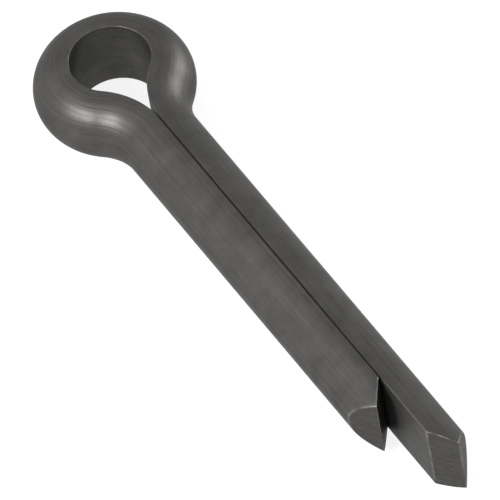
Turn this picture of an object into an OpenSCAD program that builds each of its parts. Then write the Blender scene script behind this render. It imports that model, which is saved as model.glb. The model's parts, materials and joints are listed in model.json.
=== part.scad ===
// Split cotter pin: one length of half-round wire, folded round its flat into an eye and two legs.
// The shank lies along X with its tips towards +X, and the origin is on its axis at the shoulder.
// The eye lies flat in the XY plane. Sizes are in millimetres.

/* [Wire] */
// Diameter of the closed shank, both legs together
shank_d = 3.7; // [2.9:0.05:4.5]
// Width of the slit between the flats of the two legs
slit = 0.04; // [0.02:0.01:0.3]
// Break along the two edges of the wire's flat
edge_break = 0.05; // [0.02:0.01:0.25]

/* [Eye] */
// Diameter of the opening through the eye
eye_bore = 3.775; // [2.5:0.025:6]
// Radius of the flat where the wire bends back from the eye into a leg
shoulder_r = 4.13; // [2.8:0.01:8]

/* [Legs] */
// Length of the short leg, from the shoulder to its tip
short_leg = 20; // [12:0.5:60]
// How far the long leg reaches past the short one
leg_step = 4; // [1:0.25:8]
// Angle of the chisel point that ends each leg
point_angle = 72; // [40:1:120]

/* [Hidden] */
$fn = 120;

steel = [0.32, 0.32, 0.31];

// Radius of the wire's back, which has its centre on the shank's axis
back_r = shank_d / 2;
// Thickness of the wire, from its flat to the crown of its back
wire_t = back_r - slit / 2;
// Half the width of the flat that is left between its broken edges
flat_half = sqrt(back_r * back_r - slit * slit / 4) - edge_break;

bore_r = eye_bore / 2;
// Each reverse bend turns about a point level with the shoulder
bend_y = shoulder_r + slit / 2;
// The eye touches both reverse bends, which sets how far its centre lies behind the shoulder
eye_back = sqrt(pow(bore_r + shoulder_r, 2) - bend_y * bend_y);

long_leg = short_leg + leg_step;

// How far a cutting shape reaches past the wire
spare = back_r;

// Section of the wire: the flat lies on the Y axis and the back rises towards +X
module half_round() {
    intersection() {
        translate([-slit / 2, 0])
            circle(r = back_r);
        polygon([
            [0, -flat_half],
            [spare, -flat_half - spare],
            [spare, flat_half + spare],
            [0, flat_half],
        ]);
    }
}

// A plan outline raised through the whole height of the pin
module upright(outline) {
    linear_extrude(shank_d + 2 * spare, center = true)
        polygon(outline);
}

// Ring of wire with its flat inside, open between the lines to the two bend centres
module eye() {
    difference() {
        translate([-eye_back, 0, 0])
            rotate_extrude()
                translate([bore_r, 0])
                    half_round();
        upright([
            [-eye_back, 0],
            [0, -bend_y],
            [eye_bore, -bend_y],
            [eye_bore, bend_y],
            [0, bend_y],
        ]);
    }
}

// Turn from the eye into the leg on the +Y side, with the flat on the outside of the bend
module reverse_bend() {
    intersection() {
        translate([0, bend_y, 0])
            rotate_extrude()
                translate([shoulder_r, 0])
                    mirror([1, 0])
                        half_round();
        upright([
            [0, bend_y],
            [-eye_back, 0],
            [0, 0],
        ]);
    }
}

// Straight leg on the +Y side of the slit, bevelled from both faces to an edge at half its thickness
module leg(length) {
    bevel_start = length - (wire_t / 2 + spare) / tan(point_angle / 2);
    translate([0, slit / 2, 0])
        intersection() {
            rotate([90, 0, 90])
                linear_extrude(length)
                    half_round();
            upright([
                [-spare, -spare],
                [bevel_start, -spare],
                [length, wire_t / 2],
                [bevel_start, wire_t + spare],
                [-spare, wire_t + spare],
            ]);
        }
}

// The whole folded wire, with the long leg on the +Y side
module cotter_pin() {
    color(steel) {
        eye();
        reverse_bend();
        leg(long_leg);
        mirror([0, 1, 0]) {
            reverse_bend();
            leg(short_leg);
        }
    }
}

cotter_pin();
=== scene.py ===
# Cotter pin: one half-round steel wire, folded into an eye and two legs, lying on a pale studio floor
import json
import math

import bmesh
import bpy
from mathutils import Matrix, Vector


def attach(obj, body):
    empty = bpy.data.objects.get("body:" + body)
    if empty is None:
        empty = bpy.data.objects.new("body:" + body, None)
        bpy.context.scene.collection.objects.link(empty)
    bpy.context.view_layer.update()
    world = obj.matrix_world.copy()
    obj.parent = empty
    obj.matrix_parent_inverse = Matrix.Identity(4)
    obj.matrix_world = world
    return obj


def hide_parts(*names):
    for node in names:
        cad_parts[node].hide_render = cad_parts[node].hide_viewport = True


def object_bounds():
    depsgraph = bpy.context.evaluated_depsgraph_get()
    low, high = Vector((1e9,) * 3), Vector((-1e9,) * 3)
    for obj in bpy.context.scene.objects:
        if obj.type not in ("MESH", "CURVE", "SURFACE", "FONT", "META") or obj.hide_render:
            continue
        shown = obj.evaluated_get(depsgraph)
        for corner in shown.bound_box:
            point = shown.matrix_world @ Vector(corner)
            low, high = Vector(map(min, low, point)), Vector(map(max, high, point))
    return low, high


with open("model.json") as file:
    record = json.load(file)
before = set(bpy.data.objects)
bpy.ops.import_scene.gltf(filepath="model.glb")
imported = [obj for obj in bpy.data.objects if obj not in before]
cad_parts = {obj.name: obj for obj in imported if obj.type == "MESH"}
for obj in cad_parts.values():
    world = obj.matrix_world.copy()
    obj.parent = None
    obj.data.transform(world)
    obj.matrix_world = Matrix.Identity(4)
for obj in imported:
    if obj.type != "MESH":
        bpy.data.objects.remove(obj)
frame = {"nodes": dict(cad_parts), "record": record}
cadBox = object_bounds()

mm = 0.001  # metres in one millimetre
mounts = {mount["name"]: mount for mount in frame["record"]["mounts"]}
print("frame loaded, nodes:", sorted(frame["nodes"]))


# the folded wire, modelled in millimetres and brought to metres at the end

wire = {
    "backRadius": mounts["shank"]["dims"]["r_mm"],  # both legs together make a round shank
    "boreRadius": mounts["eye"]["dims"]["r_mm"],
    "eyeBack": -mounts["eye"]["pos_m"][0] / mm,  # the eye's centre lies this far behind the shoulder
    "longLeg": mounts["shank"]["dims"]["length_mm"],
    "legStep": 4.0,  # how far the long leg reaches past the short one
    "slit": 0.002,  # the legs spring shut, so no light falls through
    "cornerRound": 0.05,  # along both edges of the flat
    "pointAngle": 72.0,
    "pointRound": 0.025,  # along the sheared edges of the points
    "circlePoints": 88,
    "cornerSteps": 4,
    "pointSteps": 3,
    "flatCuts": 9,
    "ringSpacing": 0.5,
    "bendRings": 24,
    "eyeRings": 110,
    "weld": 0.0005,  # points closer than this are one
    "roundAngle": 30.0,  # edges sharper than this on the points get a round
    "smoothAngle": 50.0,  # edges sharper than this stay crisp in the shading
    "splitCorners": 5,  # faces with as many corners or more become triangles
}

halfSlit = wire["slit"] / 2
thickness = wire["backRadius"] - halfSlit
shortLeg = wire["longLeg"] - wire["legStep"]
# the flat runs from the eye's wall straight into each bend, which gives the bend's radius
bendRadius = ((wire["eyeBack"] ** 2 + halfSlit ** 2 - wire["boreRadius"] ** 2)
              / (2 * (wire["boreRadius"] - halfSlit)))
bendY = bendRadius + halfSlit
throatAngle = math.atan2(bendY, wire["eyeBack"])  # half of the eye's open part
bendAngle = math.pi / 2 - throatAngle
eyeAngle = 2 * (math.pi - throatAngle)
pointHalf = math.radians(wire["pointAngle"] / 2)
pointRun = thickness / 2 / math.tan(pointHalf)  # length of the two slopes on a leg's end
tipY = halfSlit + thickness / 2

# lengths along the middle of the wire
bendLength = (bendRadius - thickness / 2) * bendAngle
eyeLength = (wire["boreRadius"] + thickness / 2) * eyeAngle
wireLength = wire["longLeg"] + 2 * bendLength + eyeLength + shortLeg


def selectParts(piece, kind, wanted):
    # points, edges or faces of the mesh in edit mode, by their place or normal
    bpy.ops.mesh.select_mode(type=kind)
    bpy.ops.mesh.select_all(action="DESELECT")
    mesh = bmesh.from_edit_mesh(piece.data)
    parts = {"VERT": mesh.verts, "EDGE": mesh.edges, "FACE": mesh.faces}[kind]
    for part in parts:
        part.select_set(wanted(part))
    bmesh.update_edit_mesh(piece.data)


def sectionOfWire(start):
    # a disc is cut down to the half-round, and the two corners are rounded
    bpy.ops.mesh.primitive_circle_add(vertices=wire["circlePoints"], radius=wire["backRadius"],
                                      fill_type="NGON", location=(start, 0, 0),
                                      rotation=(0, math.pi / 2, 0))
    piece = bpy.context.object
    piece.name = "folded_wire"
    bpy.ops.object.transform_apply(location=True, rotation=True, scale=True)
    bpy.ops.object.mode_set(mode="EDIT")
    bpy.ops.mesh.select_all(action="SELECT")
    bpy.ops.mesh.bisect(plane_co=(start, halfSlit, 0), plane_no=(0, 1, 0), clear_inner=True)
    selectParts(piece, "VERT", lambda point: point.co.y < halfSlit + wire["weld"])
    bpy.ops.mesh.bevel(offset=wire["cornerRound"], segments=wire["cornerSteps"], affect="VERTICES")
    selectParts(piece, "EDGE", lambda edge: edge.calc_length() > wire["backRadius"])  # the flat
    bpy.ops.mesh.subdivide(number_cuts=wire["flatCuts"])
    bpy.ops.mesh.select_all(action="SELECT")
    bpy.ops.mesh.delete(type="ONLY_FACE")
    return piece


def extrudeLeg(length, heading):
    rings = round(length / wire["ringSpacing"])
    for ring in range(rings):
        bpy.ops.mesh.extrude_edges_move(
            TRANSFORM_OT_translate={"value": (heading * length / rings, 0, 0)})


def turnWire(angle, rings, centreX, centreY):
    bpy.ops.mesh.spin(steps=rings, angle=angle, center=(centreX, centreY, 0), axis=(0, 0, 1))


def sweepWire():
    # long leg, bend, eye, bend and short leg in one sweep
    spare = 2 * pointRun  # the legs start longer, and the shear cuts them to length
    bpy.ops.object.select_all(action="DESELECT")
    piece = sectionOfWire(wire["longLeg"] + spare)
    bpy.ops.mesh.select_mode(type="EDGE")
    bpy.ops.mesh.select_all(action="SELECT")
    extrudeLeg(wire["longLeg"] + spare, -1)
    turnWire(bendAngle, wire["bendRings"], 0, bendY)
    turnWire(-eyeAngle, wire["eyeRings"], -wire["eyeBack"], 0)
    turnWire(bendAngle, wire["bendRings"], 0, -bendY)
    extrudeLeg(shortLeg + spare, 1)
    bpy.ops.mesh.select_all(action="SELECT")
    bpy.ops.mesh.remove_doubles(threshold=wire["weld"])
    bpy.ops.mesh.normals_make_consistent(inside=False)
    print("wire swept, length", round(wireLength, 2), "mm")
    return piece


def shearPoint(piece, tipX, side):
    def onPoint(place):
        return place.x > tipX - 2 * pointRun and place.y * side > 0

    # two slanting cuts meet in an edge at half the wire's thickness
    for lean in (-1, 1):
        selectParts(piece, "FACE", lambda face: onPoint(face.calc_center_median()))
        bpy.ops.mesh.bisect(plane_co=(tipX, tipY * side, 0), clear_outer=True, use_fill=True,
                            plane_no=(math.sin(pointHalf), lean * math.cos(pointHalf), 0))
    # a cut close to a corner leaves a tiny edge, which would hold the round back
    selectParts(piece, "VERT", lambda point: onPoint(point.co))
    bpy.ops.mesh.remove_doubles(threshold=wire["pointRound"] / wire["pointSteps"])


def isSlope(face):
    # the slopes of the points are the only faces past the eye that look towards the tips
    return face.normal.x > math.sin(pointHalf) / 2 and face.calc_center_median().x > wire["backRadius"]


def pointLegs(piece):
    shearPoint(piece, wire["longLeg"], 1)
    shearPoint(piece, shortLeg, -1)
    selectParts(piece, "FACE", isSlope)
    piece.data.materials.append(drawnSteelFinish())
    piece.data.materials.append(shearedSteelFinish())
    piece.active_material_index = 1
    bpy.ops.object.material_slot_assign()
    bpy.ops.mesh.select_all(action="DESELECT")
    bpy.ops.mesh.select_mode(type="EDGE")
    bpy.ops.mesh.edges_select_sharp(sharpness=math.radians(wire["roundAngle"]))
    bpy.ops.mesh.bevel(offset=wire["pointRound"], segments=wire["pointSteps"], affect="EDGES",
                       clamp_overlap=True)
    bpy.ops.mesh.select_all(action="SELECT")
    bpy.ops.mesh.normals_make_consistent(inside=False)
    bpy.ops.object.mode_set(mode="OBJECT")
    print("points sheared,", len(piece.data.polygons), "faces")


def smoothWire(piece):
    piece.scale = (mm, mm, mm)
    bpy.ops.object.transform_apply(location=True, rotation=True, scale=True)
    bpy.ops.object.shade_smooth_by_angle(angle=math.radians(wire["smoothAngle"]))
    weighted = piece.modifiers.new("weightedNormals", "WEIGHTED_NORMAL")
    weighted.keep_sharp = True
    bpy.ops.object.modifier_apply(modifier=weighted.name)
    # the slopes have many corners, and are split here without slivers
    split = piece.modifiers.new("splitSlopes", "TRIANGULATE")
    split.min_vertices = wire["splitCorners"]
    split.ngon_method = "BEAUTY"
    split.keep_custom_normals = True
    bpy.ops.object.modifier_apply(modifier=split.name)


def placeOnWire(x, y, z):
    # along the straightened wire from the long tip, out from its flat, and up, in millimetres
    reach = abs(y)
    aboutEye = math.atan2(y, x + wire["eyeBack"])
    if x >= 0:
        out = reach - halfSlit
        along = wire["longLeg"] - x
    elif abs(aboutEye) < throatAngle:
        out = bendRadius - math.hypot(x, bendY - reach)
        along = wire["longLeg"] + bendLength * math.atan2(-x, bendY - reach) / bendAngle
    else:
        out = math.hypot(x + wire["eyeBack"], y) - wire["boreRadius"]
        turned = abs(aboutEye) - throatAngle
        along = wire["longLeg"] + bendLength + eyeLength * turned / eyeAngle
    if y < 0:
        along = wireLength + wire["legStep"] - along
    return along, out, z


def markWire(piece):
    # the finishes follow the wire by this attribute
    marks = piece.data.attributes.new("wirePlace", "FLOAT_VECTOR", "POINT")
    for point, mark in zip(piece.data.vertices, marks.data):
        mark.vector = placeOnWire(*(point.co / mm))


# node helpers

def feed(tree, socket, value):
    if isinstance(value, bpy.types.NodeSocket):
        tree.links.new(value, socket)
    else:
        socket.default_value = value


def addNode(tree, kind, inputs, **settings):
    node = tree.nodes.new(kind)
    for name, value in settings.items():
        setattr(node, name, value)
    for name, value in inputs.items():
        feed(tree, node.inputs[name], value)
    return node


def addMath(tree, operation, *values):
    node = addNode(tree, "ShaderNodeMath", {}, operation=operation)
    for socket, value in zip(node.inputs, values):
        feed(tree, socket, value)
    return node.outputs["Value"]


def addNoise(tree, vector, scale, detail, roughness):
    noise = addNode(tree, "ShaderNodeTexNoise", {
        "Vector": vector, "Scale": scale, "Detail": detail, "Roughness": roughness})
    return noise.outputs["Fac"]


def addRange(tree, value, fromLow, fromHigh, toLow=0.0, toHigh=1.0):
    ranged = addNode(tree, "ShaderNodeMapRange", {
        "Value": value, "From Min": fromLow, "From Max": fromHigh, "To Min": toLow, "To Max": toHigh})
    return ranged.outputs["Result"]


def addFade(tree, value, none, full):
    # eases from 0 at the first value to 1 at the second
    fade = addNode(tree, "ShaderNodeMapRange", {
        "Value": value, "From Min": none, "From Max": full}, interpolation_type="SMOOTHSTEP")
    return fade.outputs["Result"]


def mixColours(tree, share, first, second):
    mix = addNode(tree, "ShaderNodeMix", {}, data_type="RGBA")
    feed(tree, mix.inputs["Factor"], share)
    colours = [socket for socket in mix.inputs if socket.type == "RGBA"]
    feed(tree, colours[0], first)
    feed(tree, colours[1], second)
    return next(socket for socket in mix.outputs if socket.type == "RGBA")


def newGroup(name, inputs, outputs):
    group = bpy.data.node_groups.new(name, "ShaderNodeTree")
    for socketName, kind in inputs.items():
        group.interface.new_socket(socketName, in_out="INPUT", socket_type="NodeSocket" + kind)
    for socketName in outputs:
        group.interface.new_socket(socketName, in_out="OUTPUT", socket_type="NodeSocketFloat")
    return group, group.nodes.new("NodeGroupInput").outputs, group.nodes.new("NodeGroupOutput").inputs


def addGroup(tree, group, **inputs):
    node = tree.nodes.new("ShaderNodeGroup")
    node.node_tree = group
    for name, value in inputs.items():
        feed(tree, node.inputs[name], value)
    return node.outputs


def startMaterial(name):
    material = bpy.data.materials.new(name)
    material.use_nodes = True
    tree = material.node_tree
    return material, tree, tree.nodes["Principled BSDF"]


# fine lines that run one way, from the drawing die or the shear

lineNoise = {  # scale, detail and roughness of a noise, and the part of it that shows
    "streaks": (1.0, 3.0, 0.6),
    "streakRange": (0.3, 0.7),
    "hairlines": (4.0, 2.0, 0.5),
    "hairlineRange": (0.6, 0.72),
}


def makeDieLines():
    group, given, made = newGroup("dieLines", {"Place": "Vector", "Stretch": "Vector"},
                                  ["Streaks", "Hairlines"])
    stretched = addNode(group, "ShaderNodeVectorMath", {}, operation="MULTIPLY")
    feed(group, stretched.inputs[0], given["Place"])
    feed(group, stretched.inputs[1], given["Stretch"])
    streaks = addNoise(group, stretched.outputs[0], *lineNoise["streaks"])
    hairlines = addNoise(group, stretched.outputs[0], *lineNoise["hairlines"])
    feed(group, made["Streaks"], addRange(group, streaks, *lineNoise["streakRange"]))
    feed(group, made["Hairlines"], addRange(group, hairlines, *lineNoise["hairlineRange"]))
    return group


# uneven dark film, in patches and as a fine grain

filmNoise = {  # detail and roughness of a noise, and the part of it that shows
    "patches": (5.0, 0.6),
    "patchRange": (0.32, 0.68),
    "grain": (3.0, 0.65),
    "grainRange": (0.25, 0.75),
}


def makeFilmMottle():
    group, given, made = newGroup("filmMottle", {"Place": "Vector", "Patches": "Float", "Grain": "Float"},
                                  ["Mottle", "Speckle"])
    patches = addNoise(group, given["Place"], given["Patches"], *filmNoise["patches"])
    grain = addNoise(group, given["Place"], given["Grain"], *filmNoise["grain"])
    feed(group, made["Mottle"], addRange(group, patches, *filmNoise["patchRange"]))
    feed(group, made["Speckle"], addRange(group, grain, *filmNoise["grainRange"]))
    return group


# the film rubs off where two of the wire's surfaces meet: flat, back and the slopes of the points

wearNoise = {  # scale, detail and roughness of a noise, and the part of it that shows
    "gaps": (1.6, 4.0, 0.65),
    "gapRange": (0.35, 0.65),
}


def makeEdgeWear():
    group, given, made = newGroup("edgeWear", {"Place": "Vector", "Reach": "Float", "Lengthwise": "Float"},
                                  ["Wear"])
    place = addNode(group, "ShaderNodeSeparateXYZ", {"Vector": given["Place"]}).outputs
    fromFlat = place["Y"]
    squareOut = addMath(group, "POWER", addMath(group, "ADD", fromFlat, halfSlit), 2.0)
    fromAxis = addMath(group, "SQRT", addMath(group, "MULTIPLY_ADD", place["Z"], place["Z"], squareOut))
    fromBack = addMath(group, "SUBTRACT", wire["backRadius"], fromAxis)
    toLongTip = place["X"]
    toShortTip = addMath(group, "SUBTRACT", wireLength, place["X"])
    toTip = addMath(group, "MINIMUM", toLongTip, toShortTip)
    run = addMath(group, "MULTIPLY", toTip, math.sin(pointHalf))
    fromMiddle = addMath(group, "SUBTRACT", fromFlat, thickness / 2)
    rise = addMath(group, "MULTIPLY", fromMiddle, math.cos(pointHalf))
    fromInnerSlope = addMath(group, "ADD", run, rise)
    fromOuterSlope = addMath(group, "SUBTRACT", run, rise)

    # an edge is as far as the farther one of the two surfaces that meet in it
    toPointEdge = addMath(group, "MAXIMUM", fromInnerSlope, fromOuterSlope)
    meeting = [(fromFlat, fromInnerSlope), (fromBack, fromInnerSlope), (fromBack, fromOuterSlope)]
    for first, second in meeting:
        toPointEdge = addMath(group, "MINIMUM", toPointEdge, addMath(group, "MAXIMUM", first, second))
    toLongEdge = addMath(group, "MAXIMUM", fromFlat, fromBack)
    rubbedPoint = addFade(group, toPointEdge, given["Reach"], 0.0)
    rubbedLong = addFade(group, toLongEdge, given["Reach"], 0.0)
    rubbedLong = addMath(group, "MULTIPLY", rubbedLong, given["Lengthwise"])
    rubbed = addMath(group, "MAXIMUM", rubbedPoint, rubbedLong)
    gaps = addNoise(group, given["Place"], *wearNoise["gaps"])
    patchy = addRange(group, gaps, *wearNoise["gapRange"])
    feed(group, made["Wear"], addMath(group, "MULTIPLY", rubbed, patchy))
    return group


# oil and dust settle in the seam, for as far as the two flats lie together; the near-black there is also
# painted shade between the two legs

def makeSeamGrime():
    group, given, made = newGroup("seamGrime", {"Place": "Vector", "Reach": "Float", "Fade": "Float"},
                                  ["Grime"])
    place = addNode(group, "ShaderNodeSeparateXYZ", {"Vector": given["Place"]}).outputs
    fromSeam = addMath(group, "ABSOLUTE", place["Y"])
    nearSeam = addFade(group, fromSeam, given["Reach"], halfSlit)
    beforeShoulder = addMath(group, "MULTIPLY", given["Fade"], -1.0)
    pastShoulder = addFade(group, place["X"], beforeShoulder, 0.0)
    seamEnd = shortLeg - pointRun
    pastEnd = addMath(group, "ADD", given["Fade"], seamEnd)
    beforePoint = addFade(group, place["X"], pastEnd, seamEnd)
    between = addMath(group, "MULTIPLY", pastShoulder, beforePoint)
    feed(group, made["Grime"], addMath(group, "MULTIPLY", nearSeam, between))
    return group


dieLines = makeDieLines()
filmMottle = makeFilmMottle()
edgeWear = makeEdgeWear()
seamGrime = makeSeamGrime()
print("lines, film, wear and grime made")


# steel of the wire, as far as both finishes share it

wireSteel = {
    "longEdgeWear": 0.4,  # the wire's long edges, against the edges of the points
    # near-black of the seam: part oil and dust, part painted shade between the legs
    "grimeAndShade": (0.006, 0.0055, 0.005, 1),
    "grimeAndShadeReach": 0.1,
    "grimeAndShadeFade": 0.8,
    "grimeAndShadeRougher": 0.3,
    "bareSmoother": 0.08,
    "hairlineDepth": 0.5,  # against the streaks
    "filmShine": 0.2,
    "grazingTint": (0.4, 0.4, 0.4, 1),
}


def addSteel(tree, shader, finish):
    # colour, roughness and relief come from the same lines, film, wear, and seam grime with painted shade
    onWire = addNode(tree, "ShaderNodeAttribute", {}, attribute_name="wirePlace").outputs["Vector"]
    onObject = addNode(tree, "ShaderNodeTexCoord", {}).outputs["Object"]
    inMm = addNode(tree, "ShaderNodeVectorMath", {"Vector": onObject, "Scale": 1 / mm},
                   operation="SCALE").outputs[0]
    lines = addGroup(tree, dieLines, Place=onWire, Stretch=finish["lineStretch"])
    film = addGroup(tree, filmMottle, Place=inMm, Patches=finish["patches"], Grain=finish["grain"])
    wear = addGroup(tree, edgeWear, Place=onWire, Reach=finish["wearReach"],
                    Lengthwise=wireSteel["longEdgeWear"])["Wear"]
    grimeAndShade = addGroup(tree, seamGrime, Place=inMm, Reach=wireSteel["grimeAndShadeReach"],
                     Fade=wireSteel["grimeAndShadeFade"])["Grime"]

    streaky = addMath(tree, "MULTIPLY", lines["Streaks"], finish["streakShare"])
    tone = addMath(tree, "MULTIPLY_ADD", film["Mottle"], 1 - finish["streakShare"], streaky)
    scuffs = addMath(tree, "MULTIPLY", lines["Hairlines"], finish["scuffShare"])
    cleanAndUnshaded = addMath(tree, "SUBTRACT", 1.0, grimeAndShade)
    bare = addMath(tree, "MULTIPLY", addMath(tree, "MAXIMUM", wear, scuffs), cleanAndUnshaded)
    colour = mixColours(tree, tone, finish["dark"], finish["light"])
    colour = mixColours(tree, bare, colour, finish["bare"])
    # painted shade: the seam turns near black, part oil and dust, part the shade between the two legs
    colour = mixColours(tree, grimeAndShade, colour, wireSteel["grimeAndShade"])
    feed(tree, shader.inputs["Base Color"], colour)

    satin = addRange(tree, tone, 0.0, 1.0, finish["roughest"], finish["smoothest"])
    satin = addMath(tree, "MULTIPLY_ADD", bare, -wireSteel["bareSmoother"], satin)
    satin = addMath(tree, "MULTIPLY_ADD", grimeAndShade, wireSteel["grimeAndShadeRougher"], satin)
    feed(tree, shader.inputs["Roughness"], satin)

    metal = addRange(tree, bare, 0.0, 1.0, finish["filmMetal"], 1.0)
    feed(tree, shader.inputs["Metallic"], addMath(tree, "MULTIPLY", metal, cleanAndUnshaded))

    relief = addMath(tree, "MULTIPLY_ADD", film["Speckle"], finish["grainShare"], lines["Streaks"])
    relief = addMath(tree, "MULTIPLY_ADD", lines["Hairlines"], -wireSteel["hairlineDepth"], relief)
    bump = addNode(tree, "ShaderNodeBump", {"Height": relief, "Distance": finish["relief"] * mm})
    feed(tree, shader.inputs["Normal"], bump.outputs["Normal"])
    shader.inputs["Specular Tint"].default_value = wireSteel["grazingTint"]
    shader.inputs["Specular IOR Level"].default_value = wireSteel["filmShine"]


# dark drawn wire

drawnSteel = {
    "dark": (0.050, 0.049, 0.047, 1),
    "light": (0.086, 0.084, 0.081, 1),
    "bare": (0.22, 0.216, 0.208, 1),
    "lineStretch": (0.06, 9.0, 9.0),  # long along the wire, fine across it
    "patches": 0.9,
    "grain": 22.0,
    "streakShare": 0.45,
    "scuffShare": 0.18,
    "wearReach": 0.09,
    "filmMetal": 0.65,  # the film is duller than the bare steel under it
    "roughest": 0.46,
    "smoothest": 0.34,
    "grainShare": 0.35,
    "relief": 0.004,
}


def drawnSteelFinish():
    material, tree, shader = startMaterial("drawnSteel")
    addSteel(tree, shader, drawnSteel)
    print("drawn steel finish made")
    return material


# sheared slopes of the points

shearedSteel = {
    "dark": (0.046, 0.045, 0.043, 1),
    "light": (0.086, 0.084, 0.080, 1),
    "bare": (0.23, 0.226, 0.218, 1),
    "lineStretch": (1.2, 1.2, 16.0),  # lines run down the slope
    "patches": 2.2,
    "grain": 30.0,
    "streakShare": 0.7,
    "scuffShare": 0.25,
    "wearReach": 0.07,
    "filmMetal": 0.75,
    "roughest": 0.5,
    "smoothest": 0.36,
    "grainShare": 0.5,
    "relief": 0.005,
}


def shearedSteelFinish():
    material, tree, shader = startMaterial("shearedSteel")
    addSteel(tree, shader, shearedSteel)
    print("sheared steel finish made")
    return material


pin = sweepWire()
pointLegs(pin)
smoothWire(pin)
markWire(pin)
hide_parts("cotter_pin")
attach(pin, "root")
print("wire finished")


# studio

studio = {
    "floorSize": 2.0,
    "floorColour": (0.2, 0.2, 0.2, 1),
    "floorRoughness": 0.7,
    "floorGlow": 0.85,  # a light table, pale even under the pin
    "glowColour": (1.0, 1.0, 1.0, 1),
    "world": (1.0, 1.0, 1.0, 1),
    "worldStrength": 0.8,
    "softboxDistance": 0.3,
}
softboxes = {  # direction from the pin, side length in metres and radiance
    "keySoftbox": ((0.07, -0.77, 0.64), 0.12, 20.0),
    "fillSoftbox": ((-0.6, -0.5, 0.6), 0.28, 0.5),
    "rimSoftbox": ((-0.04, 0.98, 0.14), 0.15, 9.0),
}


def makeFloor():
    bpy.ops.object.select_all(action="DESELECT")
    bpy.ops.mesh.primitive_plane_add(size=studio["floorSize"], location=(0, 0, cadBox[0].z))
    floor = bpy.context.object
    floor.name = "floor"
    material, tree, shader = startMaterial("paleFloor")
    shader.inputs["Base Color"].default_value = studio["floorColour"]
    shader.inputs["Roughness"].default_value = studio["floorRoughness"]
    shader.inputs["Emission Color"].default_value = studio["glowColour"]
    shader.inputs["Emission Strength"].default_value = studio["floorGlow"]
    floor.data.materials.append(material)


def makeLights():
    world = bpy.data.worlds.new("studio")
    bpy.context.scene.world = world
    world.use_nodes = True
    background = world.node_tree.nodes["Background"]
    background.inputs["Color"].default_value = studio["world"]
    background.inputs["Strength"].default_value = studio["worldStrength"]
    middle = (cadBox[0] + cadBox[1]) / 2
    for name, (direction, side, radiance) in softboxes.items():
        light = bpy.data.lights.new(name, "AREA")
        light.size = side
        light.energy = radiance * math.pi * side ** 2
        softbox = bpy.data.objects.new(name, light)
        bpy.context.scene.collection.objects.link(softbox)
        towards = Vector(direction).normalized()
        softbox.location = middle + towards * studio["softboxDistance"]
        softbox.rotation_euler = towards.to_track_quat("Z", "Y").to_euler()


# camera

view = {
    "azimuth": 66.267,
    "elevation": 50.135,
    "roll": -10.422,
    "distance": 0.9,
    "lookAt": (4.964, 1.004, -3.503),  # millimetres, at the middle of the picture
    "lens": 1434.06,
    "clipEnd": 10.0,
}


def makeCamera():
    azimuth = math.radians(view["azimuth"])
    elevation = math.radians(view["elevation"])
    roll = math.radians(view["roll"])
    back = Vector((math.sin(azimuth) * math.cos(elevation), -math.cos(azimuth) * math.cos(elevation),
                   math.sin(elevation)))
    right = Vector((0, 0, 1)).cross(back).normalized()
    up = back.cross(right)
    turned = Matrix((right, up, back)).transposed() @ Matrix.Rotation(roll, 3, "Z")
    data = bpy.data.cameras.new("camera")
    data.lens = view["lens"]
    data.clip_end = view["clipEnd"]
    camera = bpy.data.objects.new("camera", data)
    bpy.context.scene.collection.objects.link(camera)
    camera.location = Vector(view["lookAt"]) * mm + back * view["distance"]
    camera.rotation_euler = turned.to_euler()
    bpy.context.scene.camera = camera


makeFloor()
makeLights()
makeCamera()
bpy.context.scene.view_settings.view_transform = "Standard"
print("studio and camera ready")
